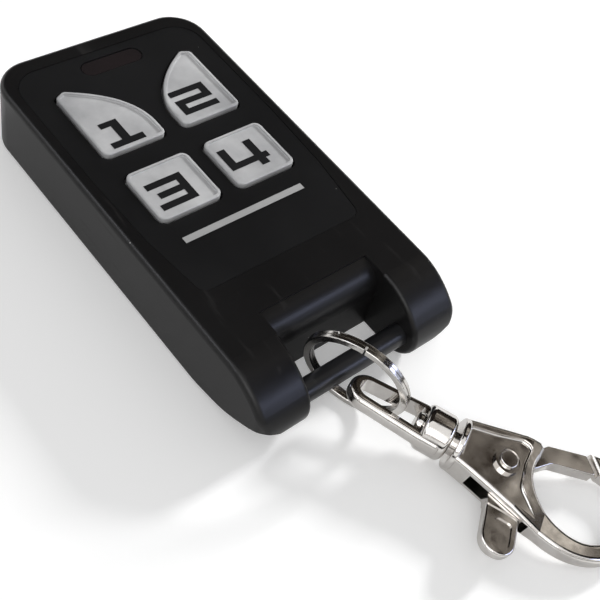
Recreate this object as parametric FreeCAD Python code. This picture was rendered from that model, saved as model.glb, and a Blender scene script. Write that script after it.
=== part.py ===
import FreeCAD, Part
import math
import os

os.makedirs("parts", exist_ok=True)
V = FreeCAD.Vector

# Case, mm: +Y is the head, -Y the tail with the ring, +Z the keypad side
CASE_W = 34.0
CASE_TOP = 11.0
HEAD_Y = 32.5
TAIL_Y = -32.7
NOSE_R = 4.5
NOSE_TOP_Z = 10.2
SLOPE_Y = -23.9
HEAD_CORNER_R = 5.5
TAIL_CORNER_R = 2.2
EDGE_R = 0.9
WALL_TOP = 1.4
WALL_SIDE = 1.8
WALL_HEAD = 1.8
WALL_NOTCH = 6.6
CAVITY_CORNER_R = 4.0
COVER_T = 1.5
COVER_LEDGE = 0.6
COVER_FIT = 0.1

# Notch between the two lobes, and the key bar across it
NOTCH_HALF_W = 9.1
NOTCH_Y = -23.9
ROLL_R = 4.0
ROLL_EDGE_Y = -20.2
ROLL_STEP = 0.25
LOBE_EDGE_R = 0.6
BAR_R = 1.6
BAR_Y = -29.65
BAR_Z = 4.2
BAR_HALF_L = 12.9
BAR_FIT = 0.02

# Hollow inside the case
CAVITY_HALF_W = CASE_W / 2 - WALL_SIDE
CAVITY_Y0 = NOTCH_Y + WALL_NOTCH
CAVITY_Y1 = HEAD_Y - WALL_HEAD

# Overlay sheet on the front face
OVERLAY_T = 0.25
OVERLAY_DEPTH = 0.3
OVERLAY_FIT = 0.06
OVERLAY_BOTTOM_Y = -14.3
OVERLAY_TOP_Y = 29.7
OVERLAY_HALF_BOTTOM = 13.4
OVERLAY_HALF_TOP = 15.2

# Keys
KEY_TOP = 11.5
KEY_RIM = 0.45
KEY_DISH = 0.3
KEY_DISH_R = 0.2
KEY_GAP = 0.22
KEY_TRAVEL = 0.35
KEY_EDGE_R = 0.25
FLANGE_W = 0.7
FLANGE_TOP = 9.5
FLANGE_BOTTOM = 8.9
STEM_R = 1.3
STEM_BOTTOM = 8.27
FIN_XY = (6.9, 14.8)
SQUARE_XY = (6.38, 2.05)

# Indicator window
WINDOW_Y = 26.7
WINDOW_HALF_L = 4.9
WINDOW_R = 1.35
WINDOW_GAP = 0.08
WINDOW_TOP = 10.85

# Board and what stands on it
BOARD_Z = 5.4
BOARD_T = 1.0
BOARD_GAP = 0.4
BOARD_HALF_W = CAVITY_HALF_W - BOARD_GAP
BOARD_Y0 = CAVITY_Y0 + 0.3 + BOARD_GAP
BOARD_Y1 = CAVITY_Y1 - BOARD_GAP
SWITCH_SIDE = 6.0
SWITCH_H = 1.4
PLUNGER_R = 0.85
PLUNGER_FIT = 0.06
PLUNGER_FOOT = 7.0
PLUNGER_TOP = 8.25
MAT_Z = 7.82
MAT_T = 0.5
MAT_GAP = 1.0
MAT_HALF_W = CAVITY_HALF_W - MAT_GAP
MAT_Y0 = -3.4
MAT_Y1 = 24.6
MAT_HOLE_R = 1.7
LOOP_INSET = 0.8
LOOP_W = 0.8
LOOP_H = 0.6
LOOP_LONG = 10.0
LOOP_SHORT = 5.4

# Coin cell under the board
CELL_R = 10.0
CELL_T = 3.2
CELL_Y = 3.5
CELL_Z = 1.76
CELL_WALL_GAP = 0.15
CELL_WALL_T = 0.8

# Case screws
SCREW_INSET = 2.9
HEAD_SCREW_Y = CAVITY_Y1 - SCREW_INSET
TAIL_SCREW_Y = CAVITY_Y0 + SCREW_INSET
SCREW_XY = (
    (SCREW_INSET - CAVITY_HALF_W, HEAD_SCREW_Y),
    (CAVITY_HALF_W - SCREW_INSET, HEAD_SCREW_Y),
    (0.0, TAIL_SCREW_Y),
)
SCREW_R = 0.85
SCREW_HEAD_R = 1.6
SCREW_HEAD_T = 0.9
SCREW_HEAD_Z = 0.25
SCREW_TIP_Z = 7.2
SCREW_FIT = 0.03
POST_R = 2.2
POST_Z = 2.4

# Split ring standing on edge round the bar: its centre, its axis and its section
RING_C = V(-2.32, -32.55, 7.5)
RING_N = V(-0.93, -0.338, -0.142)
RING_R = 6.95
RING_RADIAL = 1.05
RING_AXIAL = 1.24
RING_GROOVE = 0.28
RING_GROOVE_H = 0.14

# Hook: swivel axis point, plan angle from -Y toward +X, and fall toward the nose
HOOK_P = V(2.36, -43.2, 4.68)
HOOK_PLAN = 27.4
HOOK_FALL = 6.5
BOSS_R = 3.15
BOSS_X0 = -1.6
BOSS_X1 = 2.4
BOSS_EDGE_R = 0.7
STEM_PIN_R = 1.0
SWIVEL_FIT = 0.05
EYE_TIP_X = -12.0
EYE_END_X = 1.5
EYE_ARM = 1.2
EYE_HALF_OUT = 3.3
EYE_TIP_R = 2.7
EYE_HALF_T = 1.05
EYE_EDGE_R = 0.7
EYE_ROLL = -13.0
HEAD_R = 1.5
HEAD_T = 0.9
NECK_R = 1.7
COLLAR_R = 3.6
COLLAR_X0 = 3.0
COLLAR_X1 = 3.9
BODY_HALF_T = 2.0
CLAW_HALF_T = 1.3
HOOK_EDGE_R = 0.6
SLOT_HALF_T = 1.1
WEB_DEPTH = 0.5
WEB_SOFT_R = 0.35
RIVET_XY = (10.0, 0.5)
RIVET_R = 0.95
RIVET_HEAD_R = 1.2
RIVET_RING_R = 1.85
RIVET_SEAT_R = 1.5
RIVET_SEAT = 0.12
RIVET_RISE = 0.26
LEVER_HALF_T = 1.0
TAB_HALF_T = 0.8
TAB_DISH = 0.25
TAB_EDGE_R = 0.35
ARM_EDGE_R = 0.2
LEVER_HUB_R = 2.4
LEVER_FIT = 0.03
POCKET_R = 1.95
POCKET_FLOOR = 0.55

# Torsion spring round the rivet
SPRING_R = 1.45
SPRING_WIRE_R = 0.14
SPRING_PITCH = 0.7
SPRING_TURNS = 1.5
SPRING_Z0 = -0.72
SPRING_LEG = 2.0


# Closed flat outline from corners (x, y, corner radius), lying at height z
def outline(corners, z):
    n = len(corners)
    starts = []
    mids = []
    ends = []
    for i in range(n):
        x, y, r = corners[i]
        p = V(x, y, z)
        a = V(corners[i - 1][0], corners[i - 1][1], z).sub(p)
        b = V(corners[(i + 1) % n][0], corners[(i + 1) % n][1], z).sub(p)
        a.normalize()
        b.normalize()
        if r <= 0:
            starts.append(p)
            mids.append(None)
            ends.append(p)
            continue
        half = math.acos(max(-1.0, min(1.0, a.dot(b)))) / 2
        m = a.add(b)
        m.normalize()
        cut = r / math.tan(half)
        starts.append(p.add(V(a).multiply(cut)))
        ends.append(p.add(V(b).multiply(cut)))
        mids.append(p.add(V(m).multiply(r / math.sin(half) - r)))
    edges = []
    for i in range(n):
        if mids[i] is not None:
            edges.append(Part.Arc(starts[i], mids[i], ends[i]).toShape())
        nxt = starts[(i + 1) % n]
        if ends[i].distanceToPoint(nxt) > 1e-6:
            edges.append(Part.makeLine(ends[i], nxt))
    return Part.Wire(Part.__sortEdges__(edges))


# Straight prism of an outline between two heights
def prism(corners, z0, z1):
    return Part.Face(outline(corners, z0)).extrude(V(0, 0, z1 - z0))


# Prism of an outline grown (or shrunk) by an amount
def grown_prism(corners, amount, z0, z1):
    wire = outline(corners, z0)
    if abs(amount) > 1e-9:
        wire = wire.makeOffset2D(amount)
    return Part.Face(wire).extrude(V(0, 0, z1 - z0))


# Cutter for a dish: a prism with a soft edge on its floor
def dish_cutter(wire_corners, shrink, floor_z, open_z, r):
    cutter = grown_prism(wire_corners, -shrink, floor_z, open_z)
    rims = [e for e in cutter.Edges if all(abs(q.Point.z - floor_z) < 1e-6 for q in e.Vertexes)]
    return cutter.makeFillet(r, rims)


# Prism with its top and bottom edges made round
def soft_prism(corners, z0, z1, r):
    body = prism(corners, z0, z1)
    rims = [e for e in body.Edges if abs(e.Vertexes[0].Point.z - e.Vertexes[-1].Point.z) < 1e-6]
    return body.makeFillet(r, rims)


def box(x0, x1, y0, y1, z0, z1):
    return Part.makeBox(x1 - x0, y1 - y0, z1 - z0, V(x0, y0, z0))


def rod(x, y, z0, z1, r):
    return Part.makeCylinder(r, z1 - z0, V(x, y, z0), V(0, 0, 1))


def rod_x(x0, x1, y, z, r):
    return Part.makeCylinder(r, x1 - x0, V(x0, y, z), V(1, 0, 0))


def rectangle(hw, y0, y1, r):
    return [(-hw, y0, r), (hw, y0, r), (hw, y1, r), (-hw, y1, r)]


def save(shape, name):
    shape.exportStep("parts/%s.step" % name)


# Outline of the left fin key; the right one is its mirror image
FIN = [
    (-11.45, 10.6, 0.9),
    (-1.5, 10.6, 0.9),
    (-1.55, 15.2, 8.6),
    (-3.4, 18.9, 11.2),
    (-6.5, 21.8, 19.5),
    (-9.9, 23.9, 0.7),
    (-11.45, 23.2, 0.7),
]
# Outline of the left square key
SQUARE = [
    (-11.35, -2.5, 1.1),
    (-1.4, -2.5, 1.1),
    (-1.4, 6.6, 1.1),
    (-11.35, 6.6, 1.1),
]


def mirrored(corners):
    return [(-x, y, r) for x, y, r in reversed(corners)]


KEYS = (
    ("1", FIN, (-FIN_XY[0], FIN_XY[1])),
    ("2", mirrored(FIN), (FIN_XY[0], FIN_XY[1])),
    ("3", SQUARE, (-SQUARE_XY[0], SQUARE_XY[1])),
    ("4", mirrored(SQUARE), (SQUARE_XY[0], SQUARE_XY[1])),
)

OVERLAY = [
    (-OVERLAY_HALF_BOTTOM, OVERLAY_BOTTOM_Y, 1.6),
    (OVERLAY_HALF_BOTTOM, OVERLAY_BOTTOM_Y, 1.6),
    (14.7, -4.0, 8.0),
    (OVERLAY_HALF_TOP, 8.0, 8.0),
    (OVERLAY_HALF_TOP, OVERLAY_TOP_Y, 4.2),
    (-OVERLAY_HALF_TOP, OVERLAY_TOP_Y, 4.2),
    (-OVERLAY_HALF_TOP, 8.0, 8.0),
    (-14.7, -4.0, 8.0),
]


def window_outline(grow):
    r = WINDOW_R + grow
    hl = WINDOW_HALF_L + grow
    return rectangle(hl, WINDOW_Y - r, WINDOW_Y + r, r - 0.01)


# Height of the lower outer corner of each tail lobe at the side wall, as (y, z)
LOBE_UNDERCUT = (
    (-13.0, -0.1), (-15.1, 0.2), (-18.6, 0.62), (-22.0, 1.15), (-25.3, 1.9), (-28.2, 3.2), (-30.3, 4.4),
    (-32.3, 5.9), (-34.0, 7.6),
)
UNDERCUT_SLOPE = 0.8


# Slanted cutter that takes the lower outer corner off one lobe; side is -1 or 1
def lobe_cutter(side):
    x = side * (CASE_W / 2 + 0.25)
    lift = 0.25 * UNDERCUT_SLOPE
    spline = Part.BSplineCurve()
    spline.interpolate([V(x, y, z + lift) for y, z in LOBE_UNDERCUT])
    first = V(x, LOBE_UNDERCUT[0][0], LOBE_UNDERCUT[0][1] + lift)
    last = V(x, LOBE_UNDERCUT[-1][0], LOBE_UNDERCUT[-1][1] + lift)
    low_last = V(x, LOBE_UNDERCUT[-1][0], -3)
    low_first = V(x, LOBE_UNDERCUT[0][0], -3)
    edges = [spline.toShape(), Part.makeLine(last, low_last), Part.makeLine(low_last, low_first),
             Part.makeLine(low_first, first)]
    reach = 9.0
    return Part.Face(Part.Wire(edges)).extrude(V(-side * reach, 0, -reach * UNDERCUT_SLOPE))


# Case block: side profile with a round nose, rounded corners in plan and soft edges
def case_block():
    hw = CASE_W / 2
    nose_y = TAIL_Y + NOSE_R
    lean = math.sqrt(0.5)
    top_y = nose_y - NOSE_R * lean
    points = [
        V(-hw, HEAD_Y, 0),
        V(-hw, HEAD_Y, CASE_TOP),
        V(-hw, SLOPE_Y, CASE_TOP),
    ]
    edges = [Part.makeLine(points[i], points[i + 1]) for i in range(2)]
    tip_z = NOSE_R
    brow = V(-hw, top_y, tip_z + NOSE_R * lean)
    crest = Part.BSplineCurve()
    crest.interpolate([points[2], V(-hw, (SLOPE_Y + top_y) / 2, NOSE_TOP_Z), brow],
                      InitialTangent=V(0, -1, 0), FinalTangent=V(0, -lean, -lean))
    edges.append(crest.toShape())
    tip = V(-hw, TAIL_Y, tip_z)
    foot = V(-hw, nose_y, 0)
    edges.append(Part.Arc(brow, tip, foot).toShape())
    edges.append(Part.makeLine(foot, points[0]))
    block = Part.Face(Part.Wire(edges)).extrude(V(CASE_W, 0, 0))
    plan = [
        (-hw, TAIL_Y - 0.2, TAIL_CORNER_R),
        (hw, TAIL_Y - 0.2, TAIL_CORNER_R),
        (hw, HEAD_Y, HEAD_CORNER_R),
        (-hw, HEAD_Y, HEAD_CORNER_R),
    ]
    block = block.common(prism(plan, -1, CASE_TOP + 1))
    chain = []
    for e in block.Edges:
        a = e.Vertexes[0].Point
        b = e.Vertexes[-1].Point
        upright = abs(a.x - b.x) < 1e-6 and abs(a.y - b.y) < 1e-6
        across = abs(a.y - b.y) < 1e-6 and abs(a.z - b.z) < 1e-6
        if upright:
            continue
        if across and a.y < HEAD_Y - 0.01:
            continue
        chain.append(e)
    return block.makeFillet(EDGE_R, chain)


def front_shell():
    body = case_block()
    # Notch between the lobes, their inner edges made round, then its rolled back edge
    body = body.cut(box(-NOTCH_HALF_W, NOTCH_HALF_W, TAIL_Y - 5, NOTCH_Y, -1, CASE_TOP + 1))
    lobe = []
    for e in body.Edges:
        ends = [vertex.Point for vertex in e.Vertexes]
        on_wall = all(abs(abs(q.x) - NOTCH_HALF_W) < 1e-4 for q in ends)
        if on_wall and abs(ends[0].y - ends[-1].y) > 0.02:
            lobe.append(e)
    body = body.makeFillet(LOBE_EDGE_R, lobe)
    roll_y = NOTCH_Y + ROLL_R
    roll_z = CASE_TOP - ROLL_STEP - ROLL_R
    high = box(-NOTCH_HALF_W, NOTCH_HALF_W, TAIL_Y - 5, ROLL_EDGE_Y, roll_z, CASE_TOP + 1)
    high = high.cut(rod_x(-CASE_W, CASE_W, roll_y, roll_z, ROLL_R))
    body = body.cut(high)
    for side in (-1, 1):
        body = body.cut(lobe_cutter(side))
    # Hollow inside and the seat of the rear cover
    ceiling = CASE_TOP - WALL_TOP
    cavity = rectangle(CAVITY_HALF_W, CAVITY_Y0, CAVITY_Y1, CAVITY_CORNER_R)
    body = body.cut(prism(cavity, COVER_T - 0.01, ceiling))
    body = body.cut(grown_prism(cavity, COVER_LEDGE, -1, COVER_T))
    # Posts for the case screws
    for x, y in SCREW_XY:
        body = body.fuse(rod(x, y, POST_Z, ceiling + 0.2, POST_R))
    for x, y in SCREW_XY:
        body = body.cut(rod(x, y, POST_Z - 0.1, SCREW_TIP_Z + 0.4, SCREW_R + SCREW_FIT))
    # Seat of the overlay, key openings and window
    body = body.cut(prism(OVERLAY, CASE_TOP - OVERLAY_DEPTH, CASE_TOP + 1))
    for name, corners, stem in KEYS:
        body = body.cut(grown_prism(corners, KEY_GAP, ceiling - 0.1, CASE_TOP + 1))
    body = body.cut(prism(window_outline(WINDOW_GAP), ceiling - 0.1, CASE_TOP + 1))
    # Blind holes for the key bar
    body = body.cut(rod_x(-BAR_HALF_L - 0.1, BAR_HALF_L + 0.1, BAR_Y, BAR_Z, BAR_R + BAR_FIT))
    return body


def rear_cover():
    grow = COVER_LEDGE - COVER_FIT
    cavity = rectangle(CAVITY_HALF_W, CAVITY_Y0, CAVITY_Y1, CAVITY_CORNER_R)
    body = grown_prism(cavity, grow, 0, COVER_T - 0.02)
    wall = rod(0, CELL_Y, COVER_T - 0.2, 4.6, CELL_R + CELL_WALL_GAP + CELL_WALL_T)
    wall = wall.cut(rod(0, CELL_Y, 0, 6, CELL_R + CELL_WALL_GAP))
    wall = wall.cut(box(-4.2, 4.2, CELL_Y + 6, CELL_Y + 14, 0, 6))
    body = body.fuse(wall)
    for x, y in SCREW_XY:
        body = body.fuse(rod(x, y, 0.5, POST_Z - 0.04, POST_R))
    for x, y in SCREW_XY:
        body = body.cut(rod(x, y, -1, POST_Z + 1, SCREW_R + 0.1))
        head_top = SCREW_HEAD_Z + SCREW_HEAD_T
        body = body.cut(rod(x, y, -1, head_top + 0.01, SCREW_HEAD_R + 0.15))
    # Shallow seat for a plain label
    body = body.cut(prism([(-9, 14.5, 1), (9, 14.5, 1), (9, 24.5, 1), (-9, 24.5, 1)], -1, 0.15))
    return body


def overlay_sheet():
    z0 = CASE_TOP - OVERLAY_DEPTH
    body = grown_prism(OVERLAY, -OVERLAY_FIT, z0, z0 + OVERLAY_T)
    for name, corners, stem in KEYS:
        body = body.cut(grown_prism(corners, KEY_GAP + 0.12, z0 - 1, z0 + 1))
    return body.cut(prism(window_outline(WINDOW_GAP + 0.06), z0 - 1, z0 + 1))


# One key: crown with a raised rim and dished middle, flange and stem
def key_cap(corners, stem):
    crown = prism(corners, FLANGE_TOP - 0.1, KEY_TOP)
    rim = [e for e in crown.Edges if min(v.Point.z for v in e.Vertexes) > KEY_TOP - 0.01]
    crown = crown.makeFillet(KEY_EDGE_R, rim)
    dish = dish_cutter(corners, KEY_RIM, KEY_TOP - KEY_DISH, KEY_TOP + 1, KEY_DISH_R)
    crown = crown.cut(dish)
    flange = grown_prism(corners, FLANGE_W, FLANGE_BOTTOM, FLANGE_TOP)
    post = rod(stem[0], stem[1], STEM_BOTTOM, FLANGE_BOTTOM + 0.1, STEM_R)
    return crown.fuse(flange).fuse(post)


def key_mat():
    body = prism(rectangle(MAT_HALF_W, MAT_Y0, MAT_Y1, 2.0), MAT_Z, MAT_Z + MAT_T)
    for name, corners, stem in KEYS:
        body = body.cut(rod(stem[0], stem[1], MAT_Z - 1, MAT_Z + 2, MAT_HOLE_R))
    return body


def circuit_board():
    top = BOARD_Z + BOARD_T
    body = prism(rectangle(BOARD_HALF_W, BOARD_Y0, BOARD_Y1, 3.6), BOARD_Z, top)
    for x, y in SCREW_XY:
        body = body.cut(rod(x, y, BOARD_Z - 1, top + 1, POST_R + 0.15))
    return body


# Tact switch: square body, four leads, bore for its plunger
def switch_body(x, y):
    z = BOARD_Z + BOARD_T
    h = SWITCH_SIDE / 2
    body = box(x - h, x + h, y - h, y + h, z, z + SWITCH_H)
    for sx in (-1, 1):
        for sy in (-1, 1):
            lead_x = x + sx * 1.9
            lead_y = y + sy * (h + 0.25)
            lead = box(lead_x - 0.35, lead_x + 0.35, lead_y - 0.35, lead_y + 0.35, z, z + 0.22)
            body = body.fuse(lead)
    return body.cut(rod(x, y, z + 0.2, z + 3, PLUNGER_R + PLUNGER_FIT))


def switch_plunger(x, y):
    return rod(x, y, PLUNGER_FOOT, PLUNGER_TOP, PLUNGER_R)


def status_led():
    z = BOARD_Z + BOARD_T
    base = box(-1.6, 1.6, WINDOW_Y - 0.8, WINDOW_Y + 0.8, z, z + 0.7)
    dome = rod(0, WINDOW_Y, z + 0.6, z + 1.2, 0.65)
    return base.fuse(dome)


def indicator_window():
    body = prism(window_outline(0), CASE_TOP - WALL_TOP - 0.1, WINDOW_TOP)
    flange = prism(window_outline(0.6), CASE_TOP - WALL_TOP - 0.4, CASE_TOP - WALL_TOP - 0.02)
    return body.fuse(flange)


# Chip with four leads on each side
def controller_chip():
    z = BOARD_Z + BOARD_T
    y = -8.2
    body = box(-2.5, 2.5, y - 2.0, y + 2.0, z + 0.1, z + 1.3)
    for i in range(4):
        x = -1.9 + 1.27 * i
        body = body.fuse(box(x - 0.2, x + 0.2, y - 3.0, y + 3.0, z, z + 0.25))
    return body


def resonator_can():
    z = BOARD_Z + BOARD_T
    can = box(7.2, 11.0, -10.2, -6.4, z, z + 1.3)
    lid = box(7.5, 10.7, -9.9, -6.7, z + 1.2, z + 1.45)
    return can.fuse(lid)


# Flat loop antenna standing on the board
def antenna_loop():
    z = BOARD_Z + BOARD_T
    x0 = LOOP_INSET - BOARD_HALF_W
    x1 = x0 + LOOP_LONG
    y0 = BOARD_Y0 + 2 * LOOP_INSET
    body = box(x0, x0 + LOOP_W, y0, y0 + LOOP_LONG, z, z + LOOP_H)
    body = body.fuse(box(x0, x1, y0, y0 + LOOP_W, z, z + LOOP_H))
    return body.fuse(box(x1 - LOOP_W, x1, y0, y0 + LOOP_SHORT, z, z + LOOP_H))


# Small capacitors and resistors, one group
def chip_parts():
    z = BOARD_Z + BOARD_T
    spots = ((-8.5, -7.0), (-8.5, -9.0), (-8.5, -11.0), (5.6, -13.0), (8.2, -13.0), (10.8, -13.0))
    solids = [box(x - 0.8, x + 0.8, y - 0.45, y + 0.45, z, z + 0.55) for x, y in spots]
    return Part.makeCompound(solids)


def coin_cell():
    can = rod(0, CELL_Y, CELL_Z, CELL_Z + CELL_T - 0.25, CELL_R)
    rim = [e for e in can.Edges if e.Vertexes[0].Point.z < CELL_Z + 0.01]
    can = can.makeFillet(0.3, rim[:1])
    return can.fuse(rod(0, CELL_Y, CELL_Z + 1, CELL_Z + CELL_T, CELL_R - 1.1))


def contact_plus():
    strip = box(-3.0, 3.0, CELL_Y - 7, CELL_Y + 11.4, COVER_T + 0.02, CELL_Z - 0.03)
    riser = box(-3.0, 3.0, CELL_Y + 11.1, CELL_Y + 11.4, COVER_T + 0.02, BOARD_Z - 0.02)
    return strip.fuse(riser)


def contact_minus():
    z1 = BOARD_Z - 0.02
    z0 = CELL_Z + CELL_T + 0.03
    body = rod(0, CELL_Y, z0 + 0.15, z1, 4.5)
    for turn in range(3):
        angle = math.radians(90 + 120 * turn)
        pad = rod(3.4 * math.cos(angle), CELL_Y + 3.4 * math.sin(angle), z0, z0 + 0.2, 0.7)
        body = body.fuse(pad)
    return body


# Pan-head screw with a cross recess, driven up from the back
def case_screw(x, y):
    z_head = SCREW_HEAD_Z + SCREW_HEAD_T
    head = rod(x, y, SCREW_HEAD_Z, z_head, SCREW_HEAD_R)
    edge = [e for e in head.Edges if e.Length > 1 and e.BoundBox.ZMax < SCREW_HEAD_Z + 0.01]
    head = head.makeFillet(0.3, edge[:1])
    body = head.fuse(rod(x, y, z_head - 0.1, SCREW_TIP_Z, SCREW_R))
    body = body.cut(box(x - 0.95, x + 0.95, y - 0.18, y + 0.18, 0, SCREW_HEAD_Z + 0.5))
    return body.cut(box(x - 0.18, x + 0.18, y - 0.95, y + 0.95, 0, SCREW_HEAD_Z + 0.5))


def key_bar():
    return rod_x(-BAR_HALF_L, BAR_HALF_L, BAR_Y, BAR_Z, BAR_R)


# Split ring: two turns side by side, drawn as one ring with a groove all round
# and one cut end in each turn
def split_ring():
    r0 = RING_R - RING_RADIAL / 2
    r1 = RING_R + RING_RADIAL / 2
    h = RING_AXIAL / 2
    g = RING_GROOVE_H / 2
    section = [
        (r0, -h, 0.2),
        (r1, -h, 0.2),
        (r1, -g, 0),
        (r1 - RING_GROOVE, 0.0, 0),
        (r1, g, 0),
        (r1, h, 0.2),
        (r0, h, 0.2),
        (r0, g, 0),
        (r0 + RING_GROOVE, 0.0, 0),
        (r0, -g, 0),
    ]
    face = Part.Face(outline(section, 0))
    face.rotate(V(0, 0, 0), V(1, 0, 0), 90)
    ring = face.revolve(V(0, 0, 0), V(0, 0, 1), 360)
    gap = box(r0 - 0.5, r1 + 0.5, -0.15, 0.15, 0.0, h + 0.5)
    first = gap.copy()
    first.rotate(V(0, 0, 0), V(0, 0, 1), 20)
    second = gap.copy()
    second.rotate(V(0, 0, 0), V(1, 0, 0), 180)
    second.rotate(V(0, 0, 0), V(0, 0, 1), 52)
    ring = ring.cut(first).cut(second)
    turn = FreeCAD.Rotation(V(0, 0, 1), RING_N)
    ring.Placement = FreeCAD.Placement(RING_C, turn)
    return ring


# Hook frame: x along the swivel axis to the nose, y across, z up from its flat face
def hook_place(shape):
    plan = math.radians(HOOK_PLAN)
    fall = math.radians(HOOK_FALL)
    u = V(math.sin(plan) * math.cos(fall), -math.cos(plan) * math.cos(fall), -math.sin(fall))
    v = V(math.cos(plan), math.sin(plan), 0)
    w = u.cross(v)
    m = FreeCAD.Matrix()
    m.A11, m.A12, m.A13, m.A14 = u.x, v.x, w.x, HOOK_P.x
    m.A21, m.A22, m.A23, m.A24 = u.y, v.y, w.y, HOOK_P.y
    m.A31, m.A32, m.A33, m.A34 = u.z, v.z, w.z, HOOK_P.z
    placed = shape.copy()
    placed.Placement = FreeCAD.Placement(m).multiply(placed.Placement)
    return placed


# Eye: a long loop that narrows to its tip, its arms laid along the sides of a
# round boss with the swivel bore
def swivel_eye():
    tip_x = EYE_TIP_X + EYE_TIP_R
    outer = [
        (EYE_TIP_X, -EYE_TIP_R, EYE_TIP_R - 0.05), (tip_x, -EYE_TIP_R, 0), (BOSS_X0, -EYE_HALF_OUT, 0),
        (EYE_END_X, -EYE_HALF_OUT, 0.5), (EYE_END_X, EYE_HALF_OUT, 0.5),
        (BOSS_X0, EYE_HALF_OUT, 0), (tip_x, EYE_TIP_R, 0), (EYE_TIP_X, EYE_TIP_R, EYE_TIP_R - 0.05),
    ]
    slab = soft_prism(outer, -EYE_HALF_T, EYE_HALF_T, EYE_EDGE_R)
    t = EYE_ARM
    inner_r = EYE_TIP_R - t
    inner = [
        (EYE_TIP_X + t, -inner_r, inner_r - 0.05), (tip_x, -inner_r, 0), (BOSS_X0 - 0.2, t - EYE_HALF_OUT, 0.4),
        (BOSS_X0 - 0.2, EYE_HALF_OUT - t, 0.4), (tip_x, inner_r, 0), (EYE_TIP_X + t, inner_r, inner_r - 0.05),
    ]
    loop = slab.cut(prism(inner, -5, 5))
    loop.rotate(V(0, 0, 0), V(1, 0, 0), EYE_ROLL)
    boss = rod_x(BOSS_X0, BOSS_X1, 0, 0, BOSS_R)
    boss = boss.makeFillet(BOSS_EDGE_R, [e for e in boss.Edges if e.Length > 10 and e.BoundBox.XLength < 0.01])
    eye = boss.fuse(loop)
    eye = eye.cut(rod_x(BOSS_X0 - 2, BOSS_X1 + 1, 0, 0, STEM_PIN_R + SWIVEL_FIT))
    # Room for the pin's head
    return eye.cut(rod_x(BOSS_X0 - HEAD_T - 0.4, BOSS_X0, 0, 0, HEAD_R + 0.1))


# Smooth curve through points, as an edge at height z
def curve(points, z):
    spline = Part.BSplineCurve()
    spline.interpolate([V(x, y, z) for x, y in points])
    return spline.toShape()


# Outer edge of the hook from the collar round the claw to the nose
HOOK_OUTER = (
    (3.5, -3.25), (8.0, -4.35), (13.3, -5.8), (16.3, -6.5), (19.0, -6.95), (21.6, -6.85),
    (24.3, -6.0), (26.7, -4.3), (28.5, -1.8), (29.4, 1.2), (28.9, 4.3), (27.1, 6.9),
    (24.4, 8.45), (21.6, 8.75), (20.35, 8.45),
)
# Inner edge of the claw from the nose back to the mouth of the slot
HOOK_INNER = (
    (22.3, 6.15), (24.2, 5.85), (25.9, 4.6), (26.8, 2.6), (26.8, 0.4), (26.0, -1.6),
    (24.5, -3.2), (22.4, -4.2), (20.0, -4.3), (17.8, -3.65), (16.0, -2.55), (14.6, -1.15),
    (13.8, 0.5), (13.7, 2.2), (14.0, 3.6),
)


def hook_plate():
    z = -BODY_HALF_T
    corner = [V(14.0, 3.6, z), V(14.2, 5.1, z), V(13.4, 5.75, z), V(11.4, 5.55, z), V(3.5, 3.3, z)]
    edges = [curve(HOOK_OUTER, z)]
    edges.append(Part.makeLine(V(20.35, 8.45, z), V(22.3, 6.15, z)))
    edges.append(curve(HOOK_INNER, z))
    for i in range(4):
        edges.append(Part.makeLine(corner[i], corner[i + 1]))
    edges.append(Part.makeLine(V(3.5, 3.3, z), V(3.5, -3.25, z)))
    plate = Part.Face(Part.Wire(Part.__sortEdges__(edges))).extrude(V(0, 0, 2 * BODY_HALF_T))
    # Thinner toward the claw
    side = [
        V(3.0, -20, -BODY_HALF_T), V(12.4, -20, -BODY_HALF_T), V(16.6, -20, -CLAW_HALF_T),
        V(32.0, -20, -CLAW_HALF_T), V(32.0, -20, CLAW_HALF_T), V(16.6, -20, CLAW_HALF_T),
        V(12.4, -20, BODY_HALF_T), V(3.0, -20, BODY_HALF_T), V(3.0, -20, -BODY_HALF_T),
    ]
    taper = Part.Face(Part.makePolygon(side)).extrude(V(0, 40, 0))
    plate = plate.common(taper)
    rims = []
    for e in plate.Edges:
        a = e.Vertexes[0].Point
        b = e.Vertexes[-1].Point
        upright = abs(a.z - b.z) > CLAW_HALF_T
        across = abs(a.x - b.x) < 1e-4
        if not upright and not across:
            rims.append(e)
    return plate.makeFillet(HOOK_EDGE_R, rims)


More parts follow.
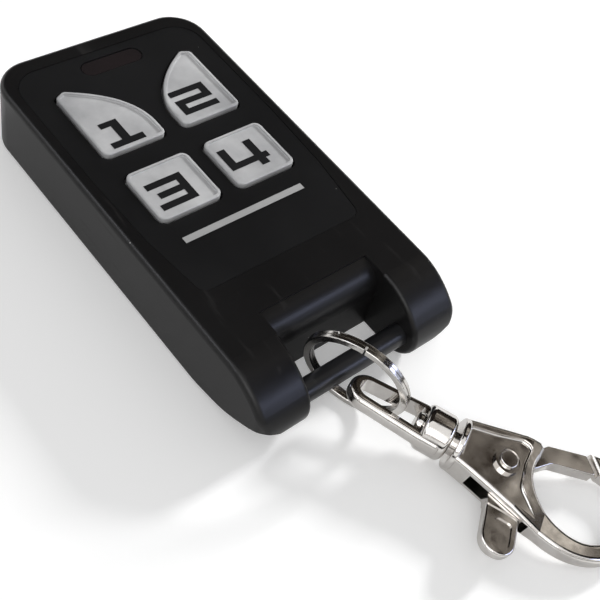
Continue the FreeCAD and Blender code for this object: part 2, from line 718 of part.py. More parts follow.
def hook_body():
    body = hook_plate()
    web = [
        (4.1, -2.3, 0.4), (8.6, -3.6, 0), (13.0, -4.8, 0), (16.9, -5.7, 0.2), (14.6, -3.9, 1.0),
        (12.7, -1.9, 2.0), (12.4, 1.4, 2.0), (12.7, 4.3, 0.9), (11.0, 4.5, 0.8), (7.6, 3.3, 1.0),
        (4.1, 2.4, 0.4),
    ]
    for side in (-1, 1):
        floor_z = side * (BODY_HALF_T - WEB_DEPTH)
        body = body.cut(dish_cutter(web, 0, floor_z, side * (BODY_HALF_T + 1), WEB_SOFT_R))
    x, y = RIVET_XY
    body = body.fuse(rod(x, y, -BODY_HALF_T, BODY_HALF_T, RIVET_RING_R))
    for side in (-1, 1):
        z0 = side * (BODY_HALF_T - RIVET_SEAT)
        z1 = side * (BODY_HALF_T + 1)
        body = body.cut(rod(x, y, min(z0, z1), max(z0, z1), RIVET_SEAT_R))
    collar = rod_x(COLLAR_X0, COLLAR_X1, 0, 0, COLLAR_R)
    collar = collar.makeFillet(0.3, [e for e in collar.Edges if e.Length > 10 and e.BoundBox.XLength < 0.01])
    body = body.fuse(collar)
    # Slot for the lever, open to the mouth and to the thumb side
    slot = [
        (6.1, -9.0, 0), (6.3, -2.4, 0.5), (6.9, 1.6, 0.5), (8.4, 3.0, 0.5), (13.2, 6.0, 0), (16.0, 9.0, 0),
        (19.0, 9.0, 0), (19.0, -1.0, 0), (15.9, -3.2, 0), (15.2, -4.0, 0.3), (15.0, -9.0, 0),
    ]
    body = body.cut(prism(slot, -SLOT_HALF_T, SLOT_HALF_T))
    body = body.cut(rod(x, y, -5, 5, RIVET_R + 0.02))
    # Neck, swivel pin and its riveted head inside the eye
    body = body.fuse(rod_x(BOSS_X1 + SWIVEL_FIT, COLLAR_X0 + 0.1, 0, 0, NECK_R))
    body = body.fuse(rod_x(BOSS_X0 - SWIVEL_FIT - 0.1, BOSS_X1 + 0.2, 0, 0, STEM_PIN_R))
    head_x = BOSS_X0 - SWIVEL_FIT
    head = rod_x(head_x - HEAD_T, head_x, 0, 0, HEAD_R)
    ring = [e for e in head.Edges if e.Length > 5 and e.BoundBox.XMax < head_x - 0.1]
    return body.fuse(head.makeFillet(0.45, ring[:1]))


# Lever: hub on the rivet, gate arm to the nose, thumb tab on the other side
def trigger_lever():
    x, y = RIVET_XY
    t = LEVER_HALF_T
    arm = [
        (9.2, 1.9, 0), (13.9, 5.4, 0), (14.7, 6.3, 0.4), (19.95, 7.95, 0.25), (21.85, 5.8, 0.25),
        (15.8, 4.0, 1.0), (12.4, 0.4, 1.0), (10.0, 0.1, 0),
    ]
    neck = [
        (8.3, -1.2, 0), (9.4, -5.9, 0), (13.9, -5.9, 0), (12.2, -0.6, 0), (10.0, 0.1, 0),
    ]
    tab = [(9.25, -5.2, 0.5), (10.15, -11.6, 2.1), (14.8, -11.6, 2.1), (13.9, -5.2, 0.5)]
    body = rod(x, y, -t, t, LEVER_HUB_R)
    body = body.fuse(soft_prism(arm, -t, t, ARM_EDGE_R))
    body = body.fuse(prism(neck, -t, t))
    body = body.fuse(soft_prism(tab, -TAB_HALF_T, TAB_HALF_T, TAB_EDGE_R))
    dish = [(10.8, -6.9, 0.7), (11.2, -10.9, 1.2), (13.9, -10.9, 1.2), (13.3, -6.9, 0.7)]
    body = body.cut(prism(dish, TAB_HALF_T - TAB_DISH, TAB_HALF_T + 1))
    body = body.cut(rod(x, y, -5, 5, RIVET_R + LEVER_FIT))
    # Pocket for the spring, with a way out for its fixed leg
    body = body.cut(rod(x, y, -5, POCKET_FLOOR, POCKET_R))
    way = [(10.0, 1.2, 0), (10.0, 2.2, 0), (4.0, 4.4, 0), (3.0, -3.2, 0), (8.6, -0.7, 0)]
    return body.cut(prism(way, -5, -0.45))


def trigger_rivet():
    x, y = RIVET_XY
    body = rod(x, y, -BODY_HALF_T - RIVET_RISE, BODY_HALF_T + RIVET_RISE, RIVET_R)
    for side in (-1, 1):
        z0 = BODY_HALF_T - RIVET_SEAT + 0.01
        z1 = BODY_HALF_T + RIVET_RISE
        head = rod(x, y, min(side * z0, side * z1), max(side * z0, side * z1), RIVET_HEAD_R)
        rim = [e for e in head.Edges if e.Length > 5 and abs(e.CenterOfMass.z - side * z1) < 0.01]
        body = body.fuse(head.makeFillet(0.18, rim[:1]))
    return body


# Spring: straight fixed leg and coil, one continuous wire
def trigger_spring():
    x, y = RIVET_XY
    rise = SPRING_PITCH * SPRING_TURNS
    coil = Part.makeHelix(SPRING_PITCH, rise, SPRING_R, 0, True)
    slope = SPRING_PITCH / (2 * math.pi * SPRING_R)
    start = V(SPRING_R, 0, 0)
    along = V(0, 1, -slope)
    along.normalize()
    tip = start.add(V(along).multiply(SPRING_LEG))
    leg = Part.makeLine(tip, start)
    wire = Part.Wire([leg] + coil.Edges)
    ring = Part.Wire([Part.makeCircle(SPRING_WIRE_R, tip, along)])
    body = wire.makePipeShell([ring], True, False)
    body.rotate(V(0, 0, 0), V(0, 0, 1), 95)
    body.translate(V(x, y, SPRING_Z0))
    length = SPRING_LEG + rise * math.sqrt(1 + 1 / slope ** 2)
    print("spring volume %.3f of %.3f" % (body.Volume, length * math.pi * SPRING_WIRE_R ** 2))
    print("spring gap between turns %.3f" % (SPRING_PITCH - 2 * SPRING_WIRE_R))
    return body


save(front_shell(), "front_shell")
save(rear_cover(), "rear_cover")
save(overlay_sheet(), "overlay_sheet")
save(indicator_window(), "indicator_window")
save(key_mat(), "key_mat")
save(circuit_board(), "circuit_board")
save(status_led(), "status_led")
save(controller_chip(), "controller_chip")
save(resonator_can(), "resonator_can")
save(antenna_loop(), "antenna_loop")
save(chip_parts(), "chip_parts")
save(coin_cell(), "coin_cell")
save(contact_plus(), "contact_plus")
save(contact_minus(), "contact_minus")
save(key_bar(), "key_bar")
for name, corners, stem in KEYS:
    save(key_cap(corners, stem), "key_" + name)
    save(switch_body(stem[0], stem[1]), "switch_body_" + name)
    save(switch_plunger(stem[0], stem[1]), "switch_plunger_" + name)
for number, spot in enumerate(SCREW_XY):
    save(case_screw(spot[0], spot[1]), "case_screw_%d" % (number + 1))
save(split_ring(), "split_ring")
save(hook_place(swivel_eye()), "swivel_eye")
save(hook_place(hook_body()), "hook_body")
save(hook_place(trigger_lever()), "trigger_lever")
save(hook_place(trigger_rivet()), "trigger_rivet")
save(hook_place(trigger_spring()), "trigger_spring")
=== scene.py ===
"""Looks of a four-key pocket transmitter that lies on its back, with its split ring and snap hook."""

import bpy
import numpy as np
from mathutils import Matrix


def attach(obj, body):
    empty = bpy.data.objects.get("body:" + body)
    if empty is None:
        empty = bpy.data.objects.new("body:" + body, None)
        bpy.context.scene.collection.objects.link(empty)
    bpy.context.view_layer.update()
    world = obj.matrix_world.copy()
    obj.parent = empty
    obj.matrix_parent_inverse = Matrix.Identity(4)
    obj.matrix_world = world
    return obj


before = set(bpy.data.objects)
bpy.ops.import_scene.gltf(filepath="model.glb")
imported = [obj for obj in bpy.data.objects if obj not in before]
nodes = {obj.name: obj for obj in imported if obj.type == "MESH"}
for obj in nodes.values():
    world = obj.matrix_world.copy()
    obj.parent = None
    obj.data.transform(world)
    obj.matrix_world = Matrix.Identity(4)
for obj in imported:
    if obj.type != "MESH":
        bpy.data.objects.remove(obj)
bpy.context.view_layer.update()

MM = 0.001
UP = (0.0, 0.0, 1.0)
WHITE = (1.0, 1.0, 1.0, 1.0)
scene = bpy.context.scene

# Camera: its place in millimetres and the turn that fit the case's edges; lens and back in millimetres
CAMERA_PLACE = (-67.5895, -67.3450, 109.5245)
CAMERA_RIGHT = (0.7563689, -0.6219014, 0.2028415)
CAMERA_DOWN = (-0.4115388, -0.6934263, -0.5914353)
CAMERA_AHEAD = (0.5084701, 0.3638662, -0.7804227)
CAMERA_LENS = 60.0
CAMERA_BACK = 36.0
CAMERA_CLIP = (0.005, 20.0)

# Faces that the drawing gives, and the print that lies on them, in millimetres
KEY_FLOOR_Z = 11.2
OVERLAY_Z = 10.95
PRINT_LIFT = 0.012
PRINT_DEPTH = 0.03

# Numerals as bars (x0, y0, x1, y1) in a box one wide and one high
NUMERAL_BARS = {
    "1": ((0.42, 0.22, 0.63, 1.0), (0.18, 0.80, 0.42, 1.0), (0.12, 0.0, 0.93, 0.22)),
    "2": ((0.0, 0.79, 1.0, 1.0), (0.80, 0.60, 1.0, 0.79), (0.0, 0.39, 1.0, 0.60),
          (0.0, 0.21, 0.20, 0.39), (0.0, 0.0, 1.0, 0.21)),
    "3": ((0.0, 0.79, 1.0, 1.0), (0.80, 0.60, 1.0, 0.79), (0.15, 0.39, 1.0, 0.60),
          (0.80, 0.21, 1.0, 0.39), (0.0, 0.0, 1.0, 0.21)),
    "4": ((0.0, 0.41, 0.20, 1.0), (0.0, 0.20, 1.0, 0.41), (0.68, 0.41, 0.88, 1.0),
          (0.68, 0.0, 0.88, 0.20)),
}

# The box (x0, y0, x1, y1) that each numeral fills on its key, and the silver rule, in millimetres
NUMERAL_PLACES = {
    "1": (-10.3, 11.4, -3.9, 16.3),
    "2": (3.0, 12.3, 9.0, 17.2),
    "3": (-10.0, -1.0, -4.3, 3.9),
    "4": (2.4, -0.6, 9.0, 4.4),
}
SILVER_RULE = (-10.5, -6.7, 9.5, -5.7)

# A flat square: its corners as shares of half its sides, and its one face
SQUARE_CORNERS = ((-1, -1), (1, -1), (1, 1), (-1, 1))
SQUARE_FACE = ((0, 1, 2, 3),)

# Each block of print has eight corners, four below and four above, and these six faces
BLOCK_CORNERS = 8
BLOCK_FACES = np.array(((3, 2, 1, 0), (4, 5, 6, 7), (0, 1, 5, 4), (1, 2, 6, 5), (2, 3, 7, 6), (3, 0, 4, 7)))

# Spans of a noise's value that become 0 to 1
WHOLE_SPAN = (0.0, 1.0)
DRIFT_SPAN = (0.3, 0.7)
SCUFF_SPAN = (0.62, 0.72)
HAZE_SPAN = (0.35, 0.7)
STREAK_SPAN = (0.42, 0.66)

# Handling marks are noise turned (radians) and stretched, paler and rougher than the plastic, and
# dust has a pale tone of its own
SCUFF_TURN = (0.3, 0.5, 0.7)
SCUFF_STRETCH = (1.0, 0.12, 1.0)
SCUFF_TONE = (0.16, 0.155, 0.15, 1.0)
SCUFF_ROUGHER = 0.12
DUST_TONE = (0.32, 0.31, 0.30, 1.0)

# The floor: half its side and how far it lies under the part, in metres, so that no two faces share
# a plane, then its shade, roughness and the light that only the camera sees on it
FLOOR_HALF = 1.5
FLOOR_DROP = 0.00002
FLOOR_SHADE = (0.90, 0.90, 0.90)
FLOOR_ROUGH = 0.9
FLOOR_LIFT = 0.22

# The white room: how strongly it lights the part, and how bright the camera and reflections see it
ROOM_LIGHT = 0.50
ROOM_SEEN = 1.0

# Both lamps point at this place near the middle of the case, in metres
LAMP_AIM = (0.0, -0.01, 0.0)

# Sheets that only reflections see take no light. The curved ones have a radius in metres, a number
# of flat faces and a scale of their streaks
UNLIT = (0.0, 0.0, 0.0)
BAND_RADIUS = 0.80
BAND_FACES = 24
BAND_STREAKS = 6.0


def set_camera():
    """The camera looks along its own -z with y up, so the turn's columns are right, -down and -ahead."""
    data = bpy.data.cameras.new("camera")
    data.sensor_width = CAMERA_BACK
    data.lens = CAMERA_LENS
    data.clip_start, data.clip_end = CAMERA_CLIP
    camera = bpy.data.objects.new("camera", data)
    scene.collection.objects.link(camera)
    turn = Matrix((CAMERA_RIGHT, [-c for c in CAMERA_DOWN], [-c for c in CAMERA_AHEAD])).transposed()
    camera.matrix_world = Matrix.Translation([c * MM for c in CAMERA_PLACE]) @ turn.to_4x4()
    scene.camera = camera


# ---------- shader helpers ----------

def feed(tree, value, socket):
    """Links another node's output to a socket, or writes a plain number or colour on it."""
    if isinstance(value, bpy.types.NodeSocket):
        tree.links.new(value, socket)
    else:
        socket.default_value = value


def group_effect(name, inputs, outputs):
    """An empty node group with number sockets: inputs are (name, default), outputs are names."""
    tree = bpy.data.node_groups.new(name, "ShaderNodeTree")
    for label, value in inputs:
        socket = tree.interface.new_socket(label, in_out="INPUT", socket_type="NodeSocketFloat")
        socket.default_value = value
    for label in outputs:
        tree.interface.new_socket(label, in_out="OUTPUT", socket_type="NodeSocketFloat")
    return tree, tree.nodes.new("NodeGroupInput"), tree.nodes.new("NodeGroupOutput")


def place_texture(tree, kind, scale, turned=None, **settings):
    """A texture node that reads Object coordinates, first turned and stretched where asked."""
    place = tree.nodes.new("ShaderNodeTexCoord").outputs["Object"]
    if turned:
        turn = tree.nodes.new("ShaderNodeMapping")
        turn.inputs["Rotation"].default_value, turn.inputs["Scale"].default_value = turned
        tree.links.new(place, turn.inputs["Vector"])
        place = turn.outputs["Vector"]
    node = tree.nodes.new("ShaderNodeTex" + kind)
    tree.links.new(place, node.inputs["Vector"])
    feed(tree, scale, node.inputs["Scale"])
    for label, value in settings.items():
        node.inputs[label].default_value = value
    return node


def mapped(tree, source, span, result=(0.0, 1.0)):
    """A straight line from one span to the other: span[0] gives result[0], span[1] gives result[1]."""
    node = tree.nodes.new("ShaderNodeMapRange")
    tree.links.new(source, node.inputs["Value"])
    for label, value in zip(("From Min", "From Max", "To Min", "To Max"), (*span, *result)):
        node.inputs[label].default_value = value
    return node.outputs["Result"]


def math_node(tree, operation, a, b):
    """One sum, product or comparison of two values, each a number or another node's output."""
    node = tree.nodes.new("ShaderNodeMath")
    node.operation = operation
    feed(tree, a, node.inputs[0])
    feed(tree, b, node.inputs[1])
    return node.outputs["Value"]


def mixed(tree, share, a, b):
    """Colour a where the share is 0, colour b where it is 1, and a blend between."""
    node = tree.nodes.new("ShaderNodeMix")
    node.data_type = "RGBA"
    sockets = {socket.name: socket for socket in node.inputs if socket.enabled}
    for label, value in (("Factor", share), ("A", a), ("B", b)):
        feed(tree, value, sockets[label])
    return [socket for socket in node.outputs if socket.enabled][0]


def make_grain_group():
    """Moulded grain: fine noise as height, slow noise as a shade that drifts over the piece."""
    tree, entry, leave = group_effect(
        "moulded_grain", (("Grain Scale", 6000.0), ("Drift Scale", 60.0)), ("Height", "Drift"))
    fine = place_texture(tree, "Noise", entry.outputs["Grain Scale"], Detail=3.0, Roughness=0.6)
    slow = place_texture(tree, "Noise", entry.outputs["Drift Scale"], Detail=4.0, Roughness=0.55)
    tree.links.new(fine.outputs["Fac"], leave.inputs["Height"])
    tree.links.new(mapped(tree, slow.outputs["Fac"], DRIFT_SPAN), leave.inputs["Drift"])
    return tree


def make_speck_group():
    """Dust: a round speck where a cell's centre is nearer than Size and its random number is
    below Share."""
    tree, entry, leave = group_effect(
        "dust_specks", (("Speck Scale", 900.0), ("Size", 0.2), ("Share", 0.05)), ("Mask",))
    cells = place_texture(tree, "Voronoi", entry.outputs["Speck Scale"], Randomness=1.0)
    part = tree.nodes.new("ShaderNodeSeparateColor")
    tree.links.new(cells.outputs["Color"], part.inputs["Color"])
    near = math_node(tree, "LESS_THAN", cells.outputs["Distance"], entry.outputs["Size"])
    rare = math_node(tree, "LESS_THAN", part.outputs["Red"], entry.outputs["Share"])
    tree.links.new(math_node(tree, "MULTIPLY", near, rare), leave.inputs["Mask"])
    return tree


def make_scuff_group():
    """Handling marks: turned and stretched noise, cut to thin short strokes."""
    tree, entry, leave = group_effect("handling_scuffs", (("Scuff Scale", 700.0),), ("Mask",))
    strokes = place_texture(tree, "Noise", entry.outputs["Scuff Scale"],
                            turned=(SCUFF_TURN, SCUFF_STRETCH), Detail=5.0)
    tree.links.new(mapped(tree, strokes.outputs["Fac"], SCUFF_SPAN), leave.inputs["Mask"])
    return tree


def make_plating_group():
    """Plated casting: slow waves under the plating as height, and a haze that dulls it in patches."""
    tree, entry, leave = group_effect(
        "plated_casting", (("Wave Scale", 260.0), ("Haze Scale", 420.0)), ("Height", "Haze"))
    wave = place_texture(tree, "Noise", entry.outputs["Wave Scale"], Detail=1.0, Roughness=0.4)
    haze = place_texture(tree, "Noise", entry.outputs["Haze Scale"], Detail=5.0, Roughness=0.6)
    tree.links.new(wave.outputs["Fac"], leave.inputs["Height"])
    tree.links.new(mapped(tree, haze.outputs["Fac"], HAZE_SPAN), leave.inputs["Haze"])
    return tree


GRAIN = make_grain_group()
SPECKS = make_speck_group()
SCUFFS = make_scuff_group()
PLATING = make_plating_group()


# ---------- finishes ----------

def start_material(name, colour, roughness, metallic=0.0, level=0.5, coat=0.0, coat_rough=0.1):
    """A Principled material whose constants sit on the shader's own sockets."""
    material = bpy.data.materials.new(name)
    material.use_nodes = True
    tree = material.node_tree
    shader = tree.nodes["Principled BSDF"]
    shader.inputs["Base Color"].default_value = (*colour, 1.0)
    shader.inputs["Roughness"].default_value = roughness
    shader.inputs["Metallic"].default_value = metallic
    shader.inputs["Specular IOR Level"].default_value = level
    shader.inputs["Coat Weight"].default_value = coat
    shader.inputs["Coat Roughness"].default_value = coat_rough
    return material, tree, shader


def use_group(tree, group, **values):
    """Places a group in a material with its own values; Grain_Scale stands for the input Grain Scale."""
    node = tree.nodes.new("ShaderNodeGroup")
    node.node_tree = group
    for label, value in values.items():
        node.inputs[label.replace("_", " ")].default_value = value
    return node


def skin_to(tree, shader, tone, rough, height, strength, depth):
    """Links a colour, a roughness and a height, which bends the normal by up to depth metres."""
    bump = tree.nodes.new("ShaderNodeBump")
    bump.inputs["Strength"].default_value = strength
    bump.inputs["Distance"].default_value = depth
    tree.links.new(height, bump.inputs["Height"])
    tree.links.new(bump.outputs["Normal"], shader.inputs["Normal"])
    tree.links.new(tone, shader.inputs["Base Color"])
    tree.links.new(rough, shader.inputs["Roughness"])


def plastic(name, colour, shade, roughness, rough_drift=0.08, grain=6000.0, depth=0.00001, strength=0.5,
            level=0.5, specks=None, scuff=None, coat=0.0, coat_rough=0.1, drift=60.0):
    """Moulded plastic: the colour drifts to a second shade and the roughness rises with it, over grain.
    specks are (scale, size, share) of dust, and scuff is (scale, strength) of handling marks."""
    material, tree, shader = start_material(name, colour, roughness, level=level, coat=coat,
                                            coat_rough=coat_rough)
    skin = use_group(tree, GRAIN, Grain_Scale=grain, Drift_Scale=drift)
    tone = mixed(tree, skin.outputs["Drift"], (*colour, 1.0), (*shade, 1.0))
    rough = mapped(tree, skin.outputs["Drift"], WHOLE_SPAN, (roughness, roughness + rough_drift))
    if scuff:
        scale, visible = scuff
        marks = use_group(tree, SCUFFS, Scuff_Scale=scale).outputs["Mask"]
        tone = mixed(tree, math_node(tree, "MULTIPLY", marks, visible), tone, SCUFF_TONE)
        rough = math_node(tree, "ADD", rough, math_node(tree, "MULTIPLY", marks, SCUFF_ROUGHER))
    if specks:
        scale, size, share = specks
        dust = use_group(tree, SPECKS, Speck_Scale=scale, Size=size, Share=share)
        tone = mixed(tree, dust.outputs["Mask"], tone, DUST_TONE)
    skin_to(tree, shader, tone, rough, skin.outputs["Height"], strength, depth)
    return material


def metal(name, colour, shade, roughness, haze=0.08, wave=260.0, depth=0.00003, strength=0.35):
    """Plated or plain metal: haze changes tint and roughness in patches, waves bend the reflections."""
    material, tree, shader = start_material(name, colour, roughness, metallic=1.0)
    skin = use_group(tree, PLATING, Wave_Scale=wave)
    tone = mixed(tree, skin.outputs["Haze"], (*colour, 1.0), (*shade, 1.0))
    rough = mapped(tree, skin.outputs["Haze"], WHOLE_SPAN, (roughness, roughness + haze))
    skin_to(tree, shader, tone, rough, skin.outputs["Height"], strength, depth)
    return material


def dress(material, *names):
    """Puts a material on CAD nodes by their material slots."""
    for name in names:
        for slot in nodes[name].material_slots:
            slot.link = "OBJECT"
            slot.material = material


# Outside
dress(plastic("case_black_plastic", (0.0058, 0.0056, 0.0059), (0.0086, 0.0082, 0.0084), 0.36,
              grain=5200.0, depth=0.000012, strength=0.35, level=0.22, specks=(420.0, 0.045, 0.06),
              scuff=(620.0, 0.06), coat=0.26, coat_rough=0.24), "front_shell")
dress(plastic("cover_black_plastic", (0.018, 0.0175, 0.0175), (0.024, 0.023, 0.023), 0.52,
              grain=4200.0, depth=0.00002, strength=0.6, level=0.35, scuff=(500.0, 0.2)), "rear_cover")
dress(plastic("overlay_black_film", (0.0060, 0.0060, 0.0065), (0.0088, 0.0088, 0.0094), 0.40,
              grain=9000.0, depth=0.000005, strength=0.25, level=0.4, specks=(520.0, 0.05, 0.06)),
      "overlay_sheet")
dress(plastic("window_smoked", (0.012, 0.011, 0.012), (0.018, 0.014, 0.015), 0.10,
              rough_drift=0.05, grain=1500.0, depth=0.000002, strength=0.1, coat=0.5), "indicator_window")
# The keys' grey drifts in wide soft patches from 0.38 to 0.60: painted shading that stands in for the light
# and shade on their dished tops
dress(plastic("key_grey_rubber_painted_shade", (0.380, 0.381, 0.390), (0.600, 0.601, 0.606), 0.30,
              grain=7000.0, depth=0.000008, strength=0.3, scuff=(520.0, 0.10), coat=0.25, drift=150.0),
      "key_1", "key_2", "key_3", "key_4")
dress(plastic("bar_black_satin", (0.010, 0.010, 0.011), (0.016, 0.016, 0.018), 0.28,
              grain=3500.0, depth=0.000006, strength=0.3, scuff=(800.0, 0.12)), "key_bar")
dress(metal("ring_bright_steel", (0.72, 0.70, 0.675), (0.58, 0.56, 0.53), 0.11, haze=0.10, wave=500.0),
      "split_ring")
dress(metal("chrome_plate", (0.78, 0.755, 0.725), (0.66, 0.63, 0.60), 0.08,
            haze=0.10, wave=210.0, depth=0.00018, strength=0.7),
      "swivel_eye", "hook_body", "trigger_lever", "trigger_rivet")
dress(metal("plain_steel", (0.52, 0.52, 0.51), (0.44, 0.44, 0.43), 0.25, haze=0.12, wave=900.0),
      "trigger_spring", "case_screw_1", "case_screw_2", "case_screw_3", "coin_cell", "contact_plus",
      "contact_minus", "resonator_can")

# Inside
dress(plastic("board_green_mask", (0.015, 0.14, 0.055), (0.02, 0.19, 0.08), 0.35,
              grain=1800.0, depth=0.00001, strength=0.3), "circuit_board")
dress(plastic("mat_grey_rubber", (0.20, 0.20, 0.21), (0.25, 0.25, 0.26), 0.6, grain=3000.0), "key_mat")
dress(plastic("chip_black_resin", (0.02, 0.02, 0.02), (0.03, 0.03, 0.03), 0.5, grain=5000.0),
      "controller_chip", "switch_body_1", "switch_body_2", "switch_body_3", "switch_body_4")
dress(plastic("plunger_white_nylon", (0.66, 0.66, 0.64), (0.74, 0.74, 0.72), 0.45, grain=4000.0),
      "switch_plunger_1", "switch_plunger_2", "switch_plunger_3", "switch_plunger_4")
dress(plastic("chip_tan_ceramic", (0.42, 0.33, 0.24), (0.50, 0.40, 0.30), 0.5, grain=4000.0), "chip_parts")
dress(plastic("led_clear_resin", (0.72, 0.70, 0.68), (0.80, 0.78, 0.76), 0.15, grain=1500.0), "status_led")
dress(metal("loop_copper_foil", (0.72, 0.42, 0.25), (0.62, 0.34, 0.2), 0.25, wave=900.0), "antenna_loop")

# Print
ink = plastic("black_ink", (0.009, 0.009, 0.010), (0.012, 0.012, 0.013), 0.5,
              grain=9000.0, depth=0.000003, strength=0.2, level=0.25)
silver_ink = plastic("silver_ink", (0.33, 0.33, 0.33), (0.45, 0.45, 0.45), 0.45,
                     grain=3000.0, depth=0.000004, strength=0.3)


# ---------- new pieces ----------

def new_mesh(name, points, faces, material):
    """A mesh object at the origin, with its place in its points (metres)."""
    mesh = bpy.data.meshes.new(name)
    mesh.from_pydata(np.asarray(points, float).tolist(), [], np.asarray(faces).tolist())
    mesh.update()
    mesh.materials.append(material)
    piece = bpy.data.objects.new(name, mesh)
    scene.collection.objects.link(piece)
    return piece


def printed(name, boxes, floor_z, material, body):
    """Print as thin closed blocks. Each box (x0, y0, x1, y1) gives its four corners just over floor_z,
    and the same four a print's depth higher."""
    boxes = np.asarray(boxes, float)
    plan = boxes[:, [[0, 1], [2, 1], [2, 3], [0, 3]] * 2]
    low = floor_z + PRINT_LIFT
    heights = np.repeat((low, low + PRINT_DEPTH), BLOCK_CORNERS // 2)
    heights = np.broadcast_to(heights[:, None], (len(boxes), BLOCK_CORNERS, 1))
    points = np.concatenate((plan, heights), axis=2).reshape(-1, 3) * MM
    faces = BLOCK_FACES + BLOCK_CORNERS * np.arange(len(boxes))[:, None, None]
    piece = new_mesh(name, points, faces.reshape(-1, 4), material)
    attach(piece, body)


def numeral(mark):
    """A numeral's bars, stretched to its box: each corner is the box's own corner plus size times share."""
    x0, y0, x1, y1 = NUMERAL_PLACES[mark]
    size = np.array((x1 - x0, y1 - y0) * 2)
    bars = np.array((x0, y0) * 2) + size * np.array(NUMERAL_BARS[mark])
    printed("numeral_" + mark, bars, KEY_FLOOR_Z, ink, "key_%s_unit" % mark)


# ---------- floor, light and background ----------

def lit_floor():
    """A pale floor: a wide flat square that shows white to the camera where it is fully lit."""
    material, tree, shader = start_material("floor_white", FLOOR_SHADE, FLOOR_ROUGH, level=0.0)
    path = tree.nodes.new("ShaderNodeLightPath")
    lift = math_node(tree, "MULTIPLY", path.outputs["Is Camera Ray"], FLOOR_LIFT)
    shader.inputs["Emission Color"].default_value = WHITE
    tree.links.new(lift, shader.inputs["Emission Strength"])
    corners = [(FLOOR_HALF * a, FLOOR_HALF * b, -FLOOR_DROP) for a, b in SQUARE_CORNERS]
    new_mesh("floor", corners, SQUARE_FACE, material)


def set_world():
    """Soft white light from all round, and plain white where the camera or a reflection sees past
    the floor."""
    world = bpy.data.worlds.new("white_room")
    world.use_nodes = True
    scene.world = world
    tree = world.node_tree
    background = tree.nodes["Background"]
    path = tree.nodes.new("ShaderNodeLightPath")
    seen = math_node(tree, "MAXIMUM", path.outputs["Is Camera Ray"], path.outputs["Is Glossy Ray"])
    seen = math_node(tree, "MAXIMUM", seen, path.outputs["Is Transmission Ray"])
    strength = mapped(tree, seen, WHOLE_SPAN, (ROOM_LIGHT, ROOM_SEEN))
    background.inputs["Color"].default_value = WHITE
    tree.links.new(strength, background.inputs["Strength"])


def level_axes(direction):
    """Three axes: z along the direction, x level and square to it, y square to both."""
    z = direction / np.linalg.norm(direction)
    x = np.cross(UP, z)
    x /= np.linalg.norm(x)
    return x, np.cross(z, x), z


def area_light(name, place, side, power):
    """A square lamp at a place, in metres, that shines along its own -z at the case."""
    data = bpy.data.lights.new(name, "AREA")
    data.shape = "RECTANGLE"
    data.size = data.size_y = side
    data.energy = power
    lamp = bpy.data.objects.new(name, data)
    scene.collection.objects.link(lamp)
    axes = level_axes(np.subtract(place, LAMP_AIM))
    lamp.matrix_world = Matrix.Translation(place) @ Matrix(axes).transposed().to_4x4()
    return lamp


def reflected_only(name, points, faces, ground, streak, scale):
    """A sheet past the picture that only reflections see, with streaks of one tone on a ground of
    another, from noise of the given scale."""
    material, tree, shader = start_material(name, UNLIT, roughness=1.0, level=0.0)
    noise = place_texture(tree, "Noise", scale, Detail=2.0, Roughness=0.5, Distortion=0.6)
    share = mapped(tree, noise.outputs["Fac"], STREAK_SPAN)
    tree.links.new(mixed(tree, share, (*ground, 1.0), (*streak, 1.0)), shader.inputs["Emission Color"])
    shader.inputs["Emission Strength"].default_value = 1.0
    sheet = new_mesh(name, points, faces, material)
    sheet.visible_camera = sheet.visible_diffuse = sheet.visible_shadow = False
    sheet.visible_transmission = sheet.visible_volume_scatter = False


def studio_band(name, heights, angles, ground, streak):
    """A curved wall round the part: (radius cos a, radius sin a, z) at two heights z, while a goes
    from one angle in degrees to the other in equal steps."""
    a = np.radians(np.linspace(*angles, BAND_FACES + 1))
    arc = BAND_RADIUS * np.stack((np.cos(a), np.sin(a)), axis=1)
    points = np.column_stack((np.repeat(arc, 2, axis=0), np.tile(heights, len(arc))))
    faces = np.array((0, 2, 3, 1)) + 2 * np.arange(BAND_FACES)[:, None]
    reflected_only(name, points, faces, ground, streak, BAND_STREAKS)


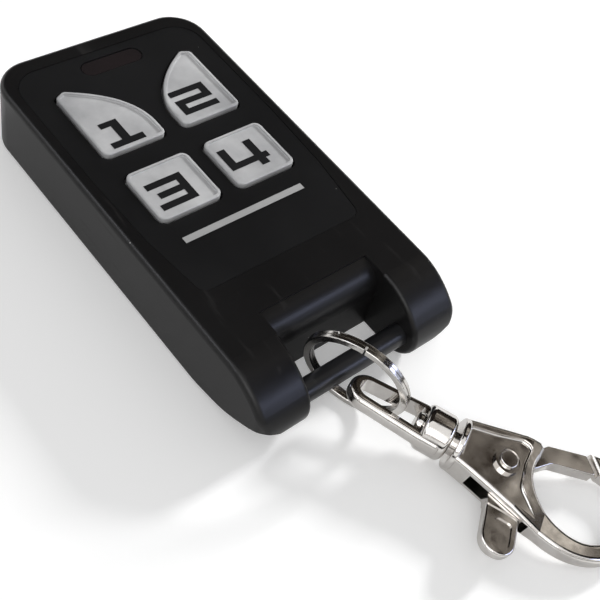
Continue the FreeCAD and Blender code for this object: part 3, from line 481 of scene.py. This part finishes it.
def studio_card(name, place, size, ground, streak, scale):
    """A flat sheet that faces the part: each corner is its place, plus or minus half its width
    along x and half its height along y, of axes whose z points home."""
    x, y, _ = level_axes(-np.array(place))
    across, along = x * size[0] / 2, y * size[1] / 2
    points = [np.add(place, a * across + b * along) for a, b in SQUARE_CORNERS]
    reflected_only(name, points, SQUARE_FACE, ground, streak, scale)


# ---------- build ----------

set_camera()

for mark in NUMERAL_PLACES:
    numeral(mark)
printed("silver_rule", [SILVER_RULE], OVERLAY_Z, silver_ink, "case")

lit_floor()
set_world()
key_light = area_light("key_light", place=(0.52, -0.03, 0.25), side=0.09, power=2.8)
key_light.visible_glossy = False
area_light("fill_light", place=(-0.30, -0.22, 0.36), side=0.30, power=0.45)

# The dark room that the plating and the black plastic reflect, with one warm sheet for the hook's faces
studio_card("dark_wall", place=(0.34, 0.26, 0.50), size=(1.70, 1.05),
            ground=(0.008, 0.007, 0.007), streak=(0.035, 0.028, 0.022), scale=3.2)
studio_card("warm_wall", place=(0.375, -0.045, 0.425), size=(0.34, 0.30),
            ground=(0.022, 0.015, 0.010), streak=(0.85, 0.79, 0.71), scale=17.0)
studio_band("low_band", heights=(0.010, 0.150), angles=(120.0, 380.0),
            ground=(0.010, 0.008, 0.007), streak=(0.06, 0.05, 0.04))
studio_band("high_band", heights=(0.36, 0.50), angles=(150.0, 300.0),
            ground=(0.012, 0.009, 0.007), streak=(0.10, 0.08, 0.06))

# Past the tail a cool wall and a bright strip for the lobes and the notch, off the left side a strip
# for the side wall, and a dark wall over the tail's strip
studio_card("cool_wall", place=(0.305, -0.454, 0.204), size=(0.50, 0.24),
            ground=(0.46, 0.50, 0.66), streak=(0.82, 0.87, 0.98), scale=6.0)
studio_card("tail_strip", place=(0.225, -0.368, 0.252), size=(0.30, 0.09),
            ground=(2.7, 3.0, 4.3), streak=(3.5, 3.8, 5.1), scale=6.0)
studio_card("side_strip", place=(-0.43, 0.25, 0.49), size=(0.50, 0.12),
            ground=(3.4, 3.5, 3.8), streak=(4.4, 4.5, 4.8), scale=6.0)
studio_card("tail_wall", place=(0.36, -0.33, 0.53), size=(0.62, 0.46),
            ground=(0.010, 0.008, 0.007), streak=(0.06, 0.05, 0.04), scale=3.2)
scene.view_settings.view_transform = "Standard"
